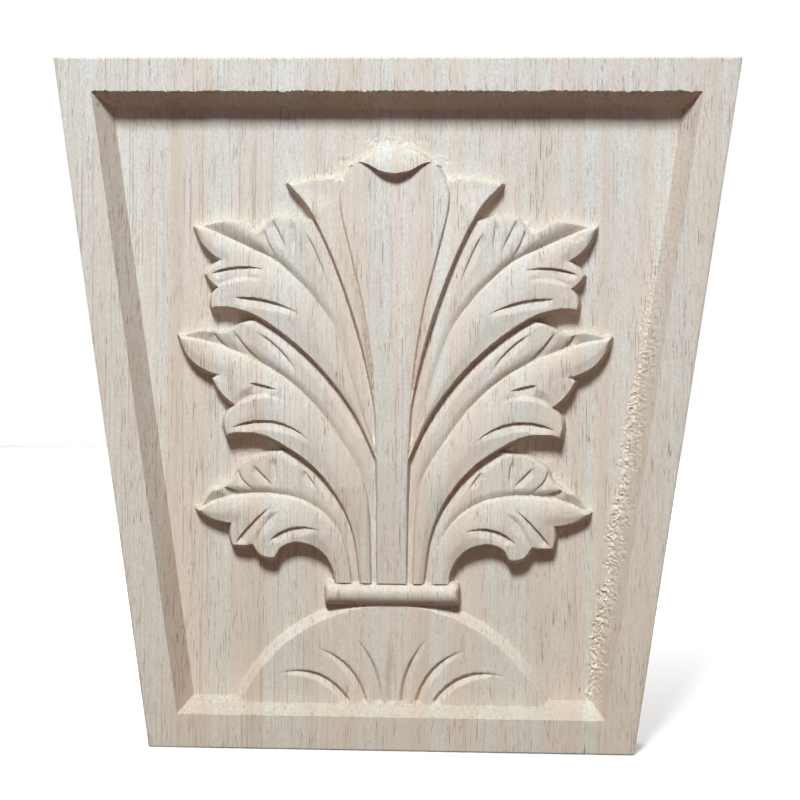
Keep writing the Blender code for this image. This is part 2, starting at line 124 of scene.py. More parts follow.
LOWER_LEAF = Leaf(
    body_arcs=[(68.9, -37, .2), (56.4, -41.6, .18), (56, -49.4, .1), (48.6, -49, .42),
               (41, -53.6, 0)],
    underside=[(41, -53.6), (39, -50.2), (34.4, -48.2), (28.8, -49), (23.8, -52.2),
               (20.7, -57.5), (19.8, STEM_FOOT)],
    midrib=[(68.9, -37), (66.3, -35.6), (63, -33.8), (57, -32), (48, -31), (38.6, -31.5),
            (30, -33.8), (22.2, -39.3), (16.5, -48), (13.8, STEM_FOOT)],
    brow=[(68.9, -37), (66.9, -33.8), (64.2, -29.7), (60.4, -28.4), (56.5, -25),
          (54.2, -20.5), (49, -17.3), (40, -15.5)],
    roof=[(28, -18), (18, -30), (9, -45), (9, STEM_FOOT)],
    above=MIDDLE_UNDERSIDE[1:],
    veins=[(54.9, -48.8, 42.4, -35.6, -.06), (43, -47.9, 25.4, -44, -.3)],
    hollows=[(39.6, -37.4, 47.6, -49, .22)],
    flutes=[(60.6, -28.4, 53.5, -30.9, .1), (54.6, -21, 48.6, -29.6, .31),
            (41.9, -18.6, 41.5, -29.8, -.13), (49.2, -21.2, 41.6, -28.6, .05),
            (31.4, -22.8, 26.4, -29.6, 0)],
    heights=Heights(tip=4.4, body=6.0, stem=4.8, groove=2.9, facet=4.9, blade=4.4,
                    brow=(4.4, 4.8, 4.8, 4.5, 4.3, 4.2, 4.2)),
)

MIDDLE_LEAF = Leaf(
    body_arcs=[(75.5, 24.1, .32), (61.1, 10.2, .05), (63.2, 8.9, .16), (55.1, -.4, .42),
               (58, -10.7, 0)],
    underside=MIDDLE_UNDERSIDE,
    midrib=[(75.5, 24.1), (70, 23.2), (64.5, 22), (57.5, 19.6), (50, 16.6), (39.3, 10.6),
            (31, 3.8), (23.5, -4.5), (11.6, -22.6), (8, -36), (7, STEM_FOOT)],
    brow=[(75.5, 24.1), (70.4, 26.2), (65.9, 26.9), (60.5, 26.2), (57.3, 27.2), (51, 30.2),
          (40, 31)],
    roof=[(30, 25), (14, 5), (4, -20), (3.5, STEM_FOOT)],
    above=UPPER_UNDERSIDE[1:] + [(3.5, STEM_FOOT)],
    veins=[(56.2, -8.2, 28.8, -12.6, -.32), (50, 7.4, 40.4, 5.1, -.03)],
    hollows=[(56.5, -1, 37, .8, -.4)],
    flutes=[(63.4, 26, 57.2, 19.4, .21), (56.4, 26.2, 46.6, 15.2, .1),
            (47.8, 25.2, 33.4, 10.6, -.13)],
    heights=Heights(tip=4.6, body=6.6, stem=5.0, groove=3.3, facet=5.0, blade=5.0,
                    brow=(4.6, 5, 5.1, 5.1, 5, 4.9, 4.8)),
)

UPPER_LEAF = Leaf(
    body_arcs=[(70, 62.3, .23), (60.4, 50.4, .16), (65.8, 45.5, .2), (61.3, 40.9, .31),
               (63.6, 33.7, 0)],
    underside=UPPER_UNDERSIDE,
    midrib=[(70, 62.3), (66.5, 62), (60.3, 59.4), (54.3, 56.7), (48.9, 54.2), (44, 52),
            (39.7, 49.3), (34.8, 44.9), (27, 36.6), (18, 21.8), (5, -19)],
    brow=[(70, 62.3), (64.6, 64.1), (58.6, 65.4), (54.2, 64.5), (50.5, 62.3), (47.2, 61.8),
          (43, 66.3), (37, 66.5), (28, 65.5)],
    roof=[(22, 65), (14, 45), (8, 20), (4, -19)],
    above=FLANK_EDGE[1:],
    veins=[(55.6, 37.2, 32.8, 31.7, -.13), (64, 45.5, 45, 47, -.15)],
    hollows=[(62, 41.4, 46, 43.4, -.27)],
    flutes=[(45.9, 62.3, 40.8, 51.2, .12), (42.9, 65.2, 37, 52.8, 0),
            (31.1, 60.4, 22.8, 41.4, -.04), (35.2, 64, 34.4, 52, 0)],
    heights=Heights(tip=4.6, body=6.9, stem=7.0, groove=3.7, facet=5.8, blade=5.5,
                    brow=(4.6, 5.4, 5.6, 5.5, 5.3, 5.2, 5.1)),
)

# How the groove, the crest, the facet and the banks run from one end of a leaf to the other
GROOVE_STOPS = (0, .35, .75, 1)
GROOVE_STEP = 1.2
CREST_STOPS = (0, .3, .72, 1)
CREST_SHARE = 0.6
RIB_LIP = 0.9
RIB_LIP_WIDTH = 0.9
EDGE_FALL = 0.5
FACET_STOPS = (0, .08, .2, .32)
BANK_STOPS = (0, .3, 1)
BANK_WIDTHS = (8.0, 3.0, 2.4)
LEAST_BANK = 0.8
BROW_FADE = 9.0
BROW_MARGIN = 0.5

# The two lobes beside the tongue, the tongue itself and its curled lip
FLANK_TOP = [(37.2, 77.3, -.15), (17, 79, 0)]
FLANK_HEIGHTS = (4.6, 6.4, 7.6, 6.6)
FLANK_HEIGHT_STOPS = (0, .15, .6, 1)
FLANK_FADE_LINE = [(33, 79.5), (17, 80.5)]
FLANK_FADE = 12.0
FLANK_FOOT = 4.6
FLANK_DISH = 3.0
TONGUE_EDGE = [(14.8, 83.4), (18.6, 75), (18.3, 67), (14.2, 50), (9.8, 31), (6.7, 7),
               (5.3, -27), (5.1, STEM_FOOT)]
TONGUE_LEVELS = (STEM_FOOT, -20, 20, 60, 84)
TONGUE_RIMS = (4.8, 6.8, 6.8, 5.8, 4.4)
TONGUE_DISHES = (0, 0, 1.2, 1.8, 1.8)
TONGUE_DISH_SHARE = 0.8
LIP_EDGE = [(15, 83.6), (12.5, 84.5), (9.6, 84), (5, 81.6), (0, 80.6)]
LIP_TOP = [(15, 83.6, -.25), (0, 91, 0)]
LIP_HEIGHTS = (3.8, 5.4, 6.6)
LIP_HEIGHT_STOPS = (0, .3, 1)
LIP_DROP = 0.35

# The strokes cut in the mound, from their free end down to the foot
MOUND_STROKES = [(40, -94.7, 14.7, -104.8, -.35), (26.2, -85.4, 8.9, -105, -.27),
                 (12.4, -81.7, 3.9, -105, -.17), (0, -81.5, 0, -105, 0)]

# Where the gouge tore the fibres, as (across, up, half width, half height), and how many of
# these halves the torn fibres reach from a patch's middle
TORN_PATCHES = [(-22, 80, 5, 2.5), (22, 80, 5, 2.5), (0, 92, 15, 2.5), (-47, 64, 4, 2),
                (46, 64, 3, 3), (-37, 66, 6, 1.5), (37, 66, 6, 1.5), (50, -18, 7, 3),
                (-50, -18, 7, 3), (-17, 86, 5, 2), (17, 86, 5, 2), (63, 58, 5, 2),
                (56, -25, 3, 3)]
PATCH_REACH = 1.3
TORN_FIBRES = "torn_fibres"

# A wall that looks up is torn from this fall per millimetre, fully after this much more, and
# on this many rows of points to each side.
TORN_FALL = 0.9
TORN_FALL_RANGE = 1.2
TORN_ROWS = 3

# Tool marks are two noises laid over each other: the cell's width and height in millimetres
# and the seed of each, and the share of the second.
Marks = namedtuple("Marks", "cell seed added_cell added_seed added_share")
RIPPLE = Marks((7, 13), 11, (3, 6), 12, .6)
CHATTER = Marks((.6, .55), 14, (1.3, 1.0), 13, .4)
FUZZ = Marks((.8, .8), 15, (1.7, 2.6), 16, .5)
FRAY = Marks((.62, .8), 17, (2.3, 1.5), 19, .4)
NOISE_CELLS = 256

# The ripple sets in at a depth of the field and is full a little deeper. All marks fade out
# just below the rim.
RIPPLE_DEPTH = 1.0
RIPPLE_RANGE = 3.0
MARKS_FADE = 0.6

# The chattered strip beside the right wall: it grows from a level downwards, its sides stray,
# and it ends a little beyond the foot of the wall.
CHATTER_TOP = 70.0
CHATTER_RANGE = 90.0
LEAST_CHATTER = 0.15
CHATTER_TORN = 0.7
STRIP_START = 1.5
STRIP_END = 3.5
STRIP_FADE = 2.0
STRAY = 1.6
STRAY_CELL = (3.1, 2.3)
STRAY_SEED = 18

# The frayed upper edge of the top wall: how far it reaches above and below the edge, over how
# much it sets in and fades, and how far from the side walls it is full
FRAY_ABOVE = 1.3
FRAY_START = 0.9
FRAY_BELOW = 1.9
FRAY_FADE = 1.5
FRAY_ENDS = 2.0

# Points within this share of a grid step of an edge or a cut are drawn onto it.
SNAP_SHARE = 0.45
# Edges that turn more than this are shaded sharp.
SHARP_ANGLE = radians(38)

# The grain of the wood: how wide and how long its cells are in metres, where it starts, how
# detailed it is, and its range. A range tells how a value becomes a share: the values where it
# starts and ends, then the shares there, which are 0 and 1 where they aren't given. The cells
# are shallower than they are wide: the pores run as ribbons.
Grain = namedtuple("Grain", "across along start detail range")
STAVES = Grain(.0065, .9, 3.1, 2.5, (.42, .58))
BROWN_STAVES = Grain(.010, 1.3, 8.4, 3.0, (.52, .70, 0, .7))
FIBRES = Grain(.0009, .05, 5.2, 3.0, (.42, .72, 0, .4))
SPECKLE = Grain(.0005, .0011, 27.3, 2.0, (.40, .64, 0, .7))
STREAKS = Grain(.0006, .06, 33.8, 2.0, (.59, .68))
LONG_PORES = Grain(.0004, .014, 12.7, 1.0, (.64, .72))
SHORT_PORES = Grain(.00036, .005, 19.1, 1.0, (.64, .72))
PORE_PATCHES = Grain(.005, .02, 15.3, 1.0, (.35, .65, .3, .85))
FLUFF = Grain(.0006, .0009, 21.9, 2.0, (.4, .65, 0, .6))
FLATNESS = 0.25
START_SHARES = (1, 1.7, .6)
FOOT_RANGE = (BOARD_HIGH[2] * MM, BOARD_LOW[2] * MM)
LEFT_SIDE_RANGE = (.02, -.06, .2, .8)
STEEP_RANGE = (-.86, -.55)
# Painted shade: steep walls are tinted darker and browner, not at all where they look a little up
# and fully where they look down.
PAINTED_SHADE_RANGE = (.35, -.5)
UPWARD_RANGE = (.4, .85)
ROUGHNESS_RANGE = (.3, .7, .62, .8)
SPECULAR = 0.3
FIBRE_SHARE = 0.5
BUMP_STRENGTH = 0.5
BUMP_HEIGHT = 0.00015

# Square studio lights with gridded beams: each one's place and target in metres, its size, the
# spread of its beam in degrees and its colour
Light = namedtuple("Light", "place target size spread colour")
WHITE = (1.0, 1.0, 1.0)
KEY_LIGHT = Light((-.14, -.88, 1.0), (0, 0, -.1), .3, 90, (.92, 1.0, 1.04))
FILL_LIGHT = Light((.03, -.7, .03), (0, 0, 0), .3, 90, (1.0, .7, .63))
FLOOR_LIGHT = Light((0, 1.15, 1.0), (0, 1.15, 0), 1.7, 75, WHITE)
# This one lights only the floor, mostly behind the camera.
FAR_LIGHT = Light((0, -1.6, 1.0), (0, -1.6, 0), 1.3, 60, WHITE)
FAR_LIGHT_SHARE = 0.5
# The side lights stand behind the panel, so only its sides and back catch them.
LEFT_LIGHT = Light((-1.2, .5, .3), (0, .1, 0), .6, 90, WHITE)
RIGHT_LIGHT = Light((1.2, .5, .3), (0, .1, 0), .6, 90, WHITE)
FLOOR_SIZE = 3.6
FLOOR_TONE = 0.75
FLOOR_ROUGHNESS = 0.9


def ease(value):
    """Run smoothly from 0 to 1 as value goes from 0 to 1."""
    t = np.clip(value, 0, 1)
    return t * t * (3 - 2 * t)


def rolled(value):
    """Rise steeply from 0 and level off at 1."""
    return 1 - (1 - np.clip(value, 0, 1))**2


def curve_through(points):
    """Return a smooth line through the points, with the same steps in each span."""
    knots = np.array(points, float)
    knots = np.vstack([2 * knots[0] - knots[1], knots, 2 * knots[-1] - knots[-2]])
    t = np.arange(STEPS_PER_SPAN)[:, None] / STEPS_PER_SPAN
    spans = []
    for a, b, c, d in zip(knots, knots[1:], knots[2:], knots[3:]):
        bend = (2 * a - 5 * b + 4 * c - d) * t**2 + (3 * b - a - 3 * c + d) * t**3
        spans.append(b + ((c - a) * t + bend) / 2)
    return np.vstack(spans + [knots[-2:-1]])


def arc_chain(points):
    """Return a line of arcs from corner to corner of (out, up, bulge) points."""
    t = np.arange(STEPS_PER_SPAN)[:, None] / STEPS_PER_SPAN
    spans = []
    for (*start, bulge), (*end, _) in zip(points, points[1:]):
        chord = np.subtract(end, start)
        rise = np.array((-chord[1], chord[0])) * bulge
        spans.append(start + chord * t + rise * 2 * t * (1 - t))
    return np.vstack(spans + [[points[-1][:2]]])


def arc_line(stroke):
    """Return the line of one vein or stroke, given as (out, up, out, up, bulge)."""
    return arc_chain([(stroke[0], stroke[1], stroke[4]), (stroke[2], stroke[3], 0)])


def edge_rounding(to_edge):
    """Return how far the rounding of an edge lowers each place."""
    return EDGE_ROUNDING * np.clip(1 - to_edge / EDGE_ROUNDING, 0, 1)**2


def measure(places, line):
    """Return each place's distance to the line, its share of the way along, and its side."""
    out, up = places.T
    nearest = np.full(len(places), np.inf)
    along = np.zeros(len(places))
    side = np.ones(len(places))
    lengths = np.linalg.norm(np.diff(line, axis=0), axis=1)
    starts = np.concatenate([[0], np.cumsum(lengths)])
    for a, b, length, start in zip(line, line[1:], lengths, starts):
        run = (b - a) / length
        reach = np.clip((out - a[0]) * run[0] + (up - a[1]) * run[1], 0, length)
        off_out = out - a[0] - reach * run[0]
        off_up = up - a[1] - reach * run[1]
        distance = np.hypot(off_out, off_up)
        closer = distance < nearest
        nearest[closer] = distance[closer]
        along[closer] = (start + reach[closer]) / starts[-1]
        side[closer] = np.where(run[0] * off_up[closer] < run[1] * off_out[closer], -1, 1)
    return nearest, along, side


def inside(places, outline):
    """Tell which places lie within a closed outline."""
    out, up = places.T
    within = np.zeros(len(places), bool)
    for (out_a, up_a), (out_b, up_b) in zip(outline, np.roll(outline, -1, axis=0)):
        if up_a == up_b:
            continue
        crossing = out_a + (out_b - out_a) * (up - up_a) / (up_b - up_a)
        within ^= ((up_a > up) != (up_b > up)) & (out < crossing)
    return within


def near(places, *lines):
    """Tell which places lie within reach of the box round some lines."""
    points = np.vstack(lines)
    low = points.min(axis=0) - REACH
    high = points.max(axis=0) + REACH
    return np.all((places > low) & (places < high), axis=1)


def cut(places, stroke, tool):
    """Return the depth of a tapering V cut, with one width for each side of its line."""
    line = arc_line(stroke)
    deep = np.zeros(len(places))
    close = near(places, line)
    distance, along, side = measure(places[close], line)
    width = np.where(side < 0, *tool.widths)
    taper = np.minimum(along / tool.ends[0], 1) * np.minimum((1 - along) / tool.ends[1], 1)
    width = width * (CUT_WAIST + (1 - CUT_WAIST) * taper)
    deep[close] = tool.depth * taper * np.clip(1 - distance / width, 0, 1)
    return deep


def groove_height(leaf, from_stem):
    """Return the height of the midrib's groove, from the stem to the tip."""
    heights = leaf.heights
    return np.interp(from_stem, GROOVE_STOPS,
                     [heights.stem - GROOVE_STEP, heights.groove + GROOVE_STEP, heights.groove,
                      heights.tip - GROOVE_STEP])


def leaf_body(places, leaf):
    """Return the height of a leaf's body: a band that swells from its midrib to its edge."""
    edge = np.vstack([arc_chain(leaf.body_arcs)[:-1], curve_through(leaf.underside)])
    midrib = curve_through(leaf.midrib)
    to_rib, along, _ = measure(places, midrib)
    to_edge, _, _ = measure(places, edge)
    within = inside(places, np.vstack([edge, midrib[::-1]]))
    across = np.where(within, to_rib / (to_rib + to_edge + TINY), to_rib > to_edge)
    heights = leaf.heights
    crest = np.interp(1 - along, CREST_STOPS,
                      [heights.stem, heights.body, heights.body, heights.tip])
    groove = groove_height(leaf, 1 - along)
    height = groove + RIB_LIP * rolled(to_rib / RIB_LIP_WIDTH)
    height += (crest - groove - RIB_LIP) * rolled(across / CREST_SHARE)
    height -= EDGE_FALL * ease((across - CREST_SHARE) / (1 - CREST_SHARE))
    height -= edge_rounding(to_edge) * (to_edge < to_rib)
    for vein in leaf.veins:
        height -= cut(places, vein, VEIN)
    for hollow in leaf.hollows:
        height -= cut(places, hollow, HOLLOW)
    fall = np.minimum(to_rib, to_edge) / LEAF_WALL_SLOPE
    return np.where(within, height, height - fall)


def leaf_blade(places, leaf):
    """Return the height of a leaf's blade: a bank by the midrib, and a wall along its brow."""
    brow = curve_through(leaf.brow)
    midrib = curve_through(leaf.midrib)
    heights = leaf.heights
    to_rib, along, _ = measure(places, midrib)
    to_brow, along_brow, _ = measure(places, brow)
    within = inside(places, np.vstack([brow, leaf.roof, midrib[::-1]]))
    groove = groove_height(leaf, 1 - along)
    plateau = np.interp(along, FACET_STOPS,
                        [heights.tip, heights.facet, heights.facet, heights.blade])
    plateau = np.maximum(plateau, groove + LEAST_BANK)
    bank = np.interp(along, BANK_STOPS, BANK_WIDTHS)
    height = groove + (plateau - groove) * rolled(to_rib / bank)
    brow_height = np.interp(along_brow, np.linspace(0, 1, len(heights.brow)), heights.brow)
    faded = brow_height + (height - brow_height) * ease((to_brow + BROW_MARGIN) / BROW_FADE)
    to_above, _, _ = measure(places, curve_through(leaf.above))
    height = np.minimum(height, faded) - OVERHANG_DIP * (1 - ease(to_above / OVERHANG_REACH))
    for flute in leaf.flutes:
        height -= cut(places, flute, FLUTE)
    outside = np.where(to_brow < to_rib, 0, height - to_rib / LEAF_WALL_SLOPE)
    return np.where(within, np.minimum(height, to_brow / LEAF_WALL_SLOPE), outside)


def flank_lobe(places):
    """Return the height of the lobe beside the tongue, highest along its outer edge."""
    edge = curve_through(FLANK_EDGE)
    top = arc_chain(FLANK_TOP)
    tongue = curve_through(TONGUE_EDGE)
    tongue = tongue[(tongue[:, 1] <= FLANK_TOP[-1][1]) & (tongue[:, 1] >= FLANK_EDGE[-1][1])]
    to_edge, along, _ = measure(places, edge)
    to_top, _, _ = measure(places, top)
    to_tongue, _, _ = measure(places, tongue)
    within = inside(places, np.vstack([edge[::-1], top, tongue]))
    across = np.where(within, to_tongue / (to_tongue + to_edge + TINY), to_tongue > to_edge)
    height = np.interp(along, FLANK_HEIGHT_STOPS, FLANK_HEIGHTS)
    height = height - FLANK_DISH * (1 - rolled(across))
    height -= edge_rounding(to_edge)
    to_fade, _, _ = measure(places, curve_through(FLANK_FADE_LINE))
    faded = FLANK_FOOT + (height - FLANK_FOOT) * ease(to_fade / FLANK_FADE)
    height = np.minimum(height, faded)
    to_side = np.minimum(to_edge, to_tongue)
    outside = np.where(to_top < to_side, 0, height - to_side / LEAF_WALL_SLOPE)
    return np.where(within, np.minimum(height, to_top / LEAF_WALL_SLOPE), outside)


def tongue_lobe(places):
    """Return the height of the middle lobe: a dished tongue that narrows to a stem."""
    edge = curve_through(TONGUE_EDGE)
    lip = curve_through(LIP_EDGE)
    to_edge, _, _ = measure(places, edge)
    to_lip, _, _ = measure(places, lip)
    within = inside(places, np.vstack([lip[::-1], edge, [(0, STEM_FOOT)]]))
    out, up = places.T
    half_width = np.interp(up, edge[::-1, 1], edge[::-1, 0])
    across = np.clip(out / half_width, 0, 1)
    dish = np.interp(up, TONGUE_LEVELS, TONGUE_DISHES) * (1 - ease(across / TONGUE_DISH_SHARE))
    height = np.interp(up, TONGUE_LEVELS, TONGUE_RIMS) - dish
    height -= edge_rounding(to_edge)
    fall = np.minimum(to_edge, to_lip) / LEAF_WALL_SLOPE
    return np.where(within, height, height - fall)


def curled_lip(places):
    """Return the height of the lip that curls over the top of the tongue."""
    edge = curve_through(LIP_EDGE)
    top = arc_chain(LIP_TOP)
    to_edge, along, _ = measure(places, edge)
    to_top, _, _ = measure(places, top)
    within = inside(places, np.vstack([edge, top[::-1]]))
    across = to_edge / (to_edge + to_top + TINY)
    crest = np.interp(along, LIP_HEIGHT_STOPS, LIP_HEIGHTS)
    roll = crest * (1 - LIP_DROP * across**2)
    outside = np.where(to_edge < to_top, crest - to_edge / LEAF_WALL_SLOPE, 0)
    return np.where(within, np.minimum(roll, to_top / LEAF_WALL_SLOPE), outside)


def tie_band(places):
    """Return the height of the low rounded band that ties the stems."""
    out, up = places.T
    beyond = np.clip(out - (BAND_HALF_LENGTH - BAND_END), 0, None) / BAND_END
    off_level = np.abs(up - BAND_LEVEL) / BAND_HALF_WIDTH
    share = (off_level**BAND_CORNER + beyond**BAND_CORNER)**(1 / BAND_CORNER)
    roll = np.clip(1 - share**2, 0, 1)**BAND_FULLNESS
    return np.where(share < 1, BAND_SEAT + BAND_RISE * roll, 0)


def mound(places):
    """Return the height of the bevelled mound and the strokes that fan up it."""
    out, up = places.T
    inward = MOUND_RADIUS - np.hypot(out, up - MOUND_CENTRE)
    height = np.clip(inward / MOUND_BEVEL, 0, 1) * MOUND_HEIGHT
    for stroke in MOUND_STROKES:
        height -= cut(places, stroke, STROKE)
    return np.clip(height, 0, None)


def spray_forms():
    """List the forms of the spray, each with the lines that bound it."""
    tongue = curve_through(TONGUE_EDGE)
    forms = [(flank_lobe, (), FLANK_EDGE, tongue), (curled_lip, (), LIP_EDGE, [LIP_TOP[-1][:2]]),
             (tongue_lobe, (), tongue, [(0, 0)])]
    for leaf in (LOWER_LEAF, MIDDLE_LEAF, UPPER_LEAF):
        body = arc_chain(leaf.body_arcs)
        forms.append((leaf_body, (leaf,), body, leaf.underside, leaf.midrib))
        forms.append((leaf_blade, (leaf,), leaf.brow, leaf.roof, leaf.midrib))
    return forms


def crisp_lines():
    """List the edges, valleys and cuts that the points of the grid are drawn onto."""
    lines = [curve_through(FLANK_EDGE), curve_through(TONGUE_EDGE), curve_through(LIP_EDGE)]
    for leaf in (LOWER_LEAF, MIDDLE_LEAF, UPPER_LEAF):
        lines += [curve_through(leaf.brow), curve_through(leaf.midrib)]
        lines += [arc_line(stroke) for stroke in leaf.flutes + leaf.veins]
        lines += [arc_chain(leaf.body_arcs), curve_through(leaf.underside)]
    return lines + [arc_line(stroke) for stroke in MOUND_STROKES]


def drawn_onto(places, line, reach):
    """Move the places that lie within reach of a line onto it."""
    close = np.flatnonzero(near(places, line))
    nearest = np.full(len(close), reach)
    landing = places[close]
    spots = places[close]
    for a, b in zip(line, line[1:]):
        share = np.clip(((spots - a) @ (b - a)) / ((b - a) @ (b - a)), 0, 1)
        foot = a + share[:, None] * (b - a)
        distance = np.hypot(*(spots - foot).T)
        closer = distance < nearest
        nearest[closer] = distance[closer]
        landing[closer] = foot[closer]
    moved = places.copy()
    moved[close] = landing
    return moved


def carving_height(places):
    """Return the height of the highest form at each place."""
    spray = np.zeros(len(places))
    for form, details, *lines in spray_forms():
        close = near(places, *lines)
        spray[close] = np.maximum(spray[close], form(places[close], *details))
    spray[places[:, 1] < BAND_LEVEL] = 0
    return np.maximum(np.maximum(spray, mound(places)), tie_band(places))


def lattice_noise(places, cell, seed):
    """Return smooth random values from -1 to 1 on a lattice of cells of a given size."""
    lattice = np.random.default_rng(seed).uniform(-1, 1, (NOISE_CELLS, NOISE_CELLS))
    spot = places / cell
    corner = np.floor(spot).astype(int)
    share = ease(spot - corner)
    left, low = corner.T % NOISE_CELLS
    right = (left + 1) % NOISE_CELLS
    high = (low + 1) % NOISE_CELLS
    below = lattice[left, low] * (1 - share[:, 0]) + lattice[right, low] * share[:, 0]
    above = lattice[left, high] * (1 - share[:, 0]) + lattice[right, high] * share[:, 0]
    return below * (1 - share[:, 1]) + above * share[:, 1]


def marks_height(places, marks):
    """Return two noises laid over each other, at each place."""
    height = lattice_noise(places, marks.cell, marks.seed)
    return height + marks.added_share * lattice_noise(places, marks.added_cell, marks.added_seed)


class Board:
    """The flat board and its sunk field, in millimetres."""

    def __init__(self, settings):
        self.bottom_width = settings.bottom_width / MM
        self.top_rail = settings.top_rail / MM
        self.bottom_rail = settings.bottom_rail / MM
        self.side_stile = settings.side_stile / MM
        self.field_depth = settings.field_depth / MM
        self.wall_run = settings.wall_run / MM
        self.grid_step = settings.grid_step / MM
        self.stretch = np.hypot(1, (TOP_WIDTH - self.bottom_width) / 2 / BOARD_HEIGHT)

    def half_width(self, up):
        """Return half the board's width at a level."""
        share = up / BOARD_HEIGHT + .5
        return (self.bottom_width + (TOP_WIDTH - self.bottom_width) * share) / 2

    def from_side(self, places):
        """Return how far each place lies in from the nearer sloping side."""
        return (self.half_width(places[:, 1]) - places[:, 0]) / self.stretch

    def from_stile(self, places):
        """Return how far each place lies in from the nearer stile."""
        return self.from_side(places) - self.side_stile

    def from_top_rail(self, places):
        """Return how far each place lies below the top rail."""
        return BOARD_HEIGHT / 2 - self.top_rail - places[:, 1]

    def floor_depth(self, places):
        """Return the depth of the sunk field and its sloping walls at each place."""
        from_bottom = places[:, 1] + BOARD_HEIGHT / 2 - self.bottom_rail
        inward = np.minimum(self.from_stile(places),
                            np.minimum(self.from_top_rail(places), from_bottom))
        return self.field_depth * np.clip(inward / self.wall_run, 0, 1)

    def stops(self, lengths):
        """Return positions from 0, region by region, about a grid step apart."""
        positions = [0.0]
        for length in lengths:
            count = max(1, round(length / self.grid_step))
            positions += [positions[-1] + length / count * (k + 1) for k in range(count)]
        return np.array(positions)

    def across_stops(self):
        """Return the stops across the board's middle, and how wide its middle region is."""
        stile = self.side_stile * self.stretch
        wall = self.wall_run * self.stretch
        middle = self.half_width(0) - stile - wall
        out_stops = self.stops([middle, wall, stile])
        return np.concatenate([-out_stops[:0:-1], out_stops]), middle

    def up_stops(self):
        """Return the stops from the bottom of the board to its top."""
        field = BOARD_HEIGHT - self.bottom_rail - self.top_rail - 2 * self.wall_run
        return self.stops([self.bottom_rail, self.wall_run, field, self.wall_run,
                           self.top_rail]) - BOARD_HEIGHT / 2

    def fitted(self, across, up, middle):
        """Slide grid stops outwards so that their columns follow the sloping sides."""
        stile = self.side_stile * self.stretch
        wall = self.wall_run * self.stretch
        edge_of_field = self.half_width(up) - stile - wall
        out = np.abs(across)
        out = np.where(out <= middle, out * edge_of_field / middle,
                       out - middle + edge_of_field)
        return out * np.sign(across)


def tool_marks(places, sides, board, settings):
    """Return the height of the tool marks and how torn the fibres are, at each place."""
    spots = np.stack([places[:, 0] * sides, places[:, 1]], axis=1)
    sunk = ease((board.floor_depth(places) - RIPPLE_DEPTH) / RIPPLE_RANGE)
    marks = settings.ripple / MM * marks_height(spots, RIPPLE) * sunk

    low_right = (sides > 0) * ease((CHATTER_TOP - places[:, 1]) / CHATTER_RANGE)
    stray = board.from_stile(places) + STRAY * lattice_noise(spots, STRAY_CELL, STRAY_SEED)
    strip = ease((stray - STRIP_START) / STRIP_FADE)
    strip *= ease((board.wall_run + STRIP_END - stray) / STRIP_FADE)
    chatter = strip * (LEAST_CHATTER + (1 - LEAST_CHATTER) * low_right) * (sides > 0)
    marks += settings.chatter / MM * chatter * marks_height(spots, CHATTER)

    torn = CHATTER_TORN * chatter
    for across, up, half_across, half_up in TORN_PATCHES:
        spread = np.hypot((spots[:, 0] - across) / half_across, (spots[:, 1] - up) / half_up)
        torn = np.maximum(torn, ease(PATCH_REACH - spread))
    marks += settings.torn_height / MM * torn * marks_height(spots, FUZZ) * (1 - chatter)
    return marks, torn


def torn_brows(heights, up):
    """Return how torn the fibres are near walls that look up, where the cutter met end grain."""
    rise = np.diff(heights, axis=0) / np.diff(up, axis=0)
    steep = ease((-np.pad(rise, ((1, 0), (0, 0))) - TORN_FALL) / TORN_FALL_RANGE)
    torn = steep.copy()
    for rows in range(1, TORN_ROWS + 1):
        torn[rows:] = np.maximum(torn[rows:], steep[:-rows])
        torn[:-rows] = np.maximum(torn[:-rows], steep[rows:])
    return torn


def frayed_edge(places, sides, board, settings):
    """Return the places as the fibres frayed along the top wall's upper edge shift them."""
    spots = np.stack([places[:, 0] * sides, places[:, 1]], axis=1)
    below = board.from_top_rail(places)
    frayed = ease((below + FRAY_ABOVE) / FRAY_START) * ease((FRAY_BELOW - below) / FRAY_FADE)
    frayed *= ease(board.from_stile(places) / FRAY_ENDS)
    return places - np.outer(settings.fray / MM * frayed * marks_height(spots, FRAY), (0, 1))


def carved_table(places, board, columns, rows):
    """Return the grid's places and heights, row by row; its left half mirrors its right half."""
    middle = columns // 2
    table = np.dstack([places.reshape(rows, columns, 2), np.zeros((rows, columns))])
    half = table[:, middle + 1:, :2].reshape(-1, 2)
    for line in crisp_lines():
        half = drawn_onto(half, line, SNAP_SHARE * board.grid_step)
    table[:, middle + 1:, :2] = half.reshape(rows, -1, 2)
    heights = carving_height(table[:, middle:, :2].reshape(-1, 2))
    table[:, middle:, 2] = heights.reshape(rows, -1)
    table[:, :middle] = table[:, :middle:-1]
    return table


def metres(name, description, default):
    """Return a setting for a length in metres."""
    return FloatProperty(name=name, description=description, default=default, unit="LENGTH")


def watts(name, description, default):
    """Return a setting for the power of a light."""
    return FloatProperty(name=name, description=description, default=default, unit="POWER")


def tone(name, description, default):
    """Return a setting for a colour."""
    return FloatVectorProperty(name=name, description=description, default=default,
                               subtype="COLOR")


class BoardSettings(PropertyGroup):
    """Sizes of the board and of its sunk field."""

    bottom_width: metres("Bottom width", "Width of the narrow end", 0.169)
    top_rail: metres("Top rail", "Flat rim above the sunk field", 0.0116)
    bottom_rail: metres("Bottom rail", "Flat rim below the sunk field", 0.0118)
    side_stile: metres("Side stile", "Flat rim beside the sunk field", 0.0115)
    field_depth: metres("Field depth", "Depth of the floor of the field", 0.0097)
    wall_run: metres("Wall run", "How far the field's walls lean", 0.005)
    grid_step: metres("Grid step", "Spacing of the carved surface", 0.00036)
    triangles: IntProperty(name="Triangles", description="Triangles kept after thinning",
                           default=196000, min=20000)


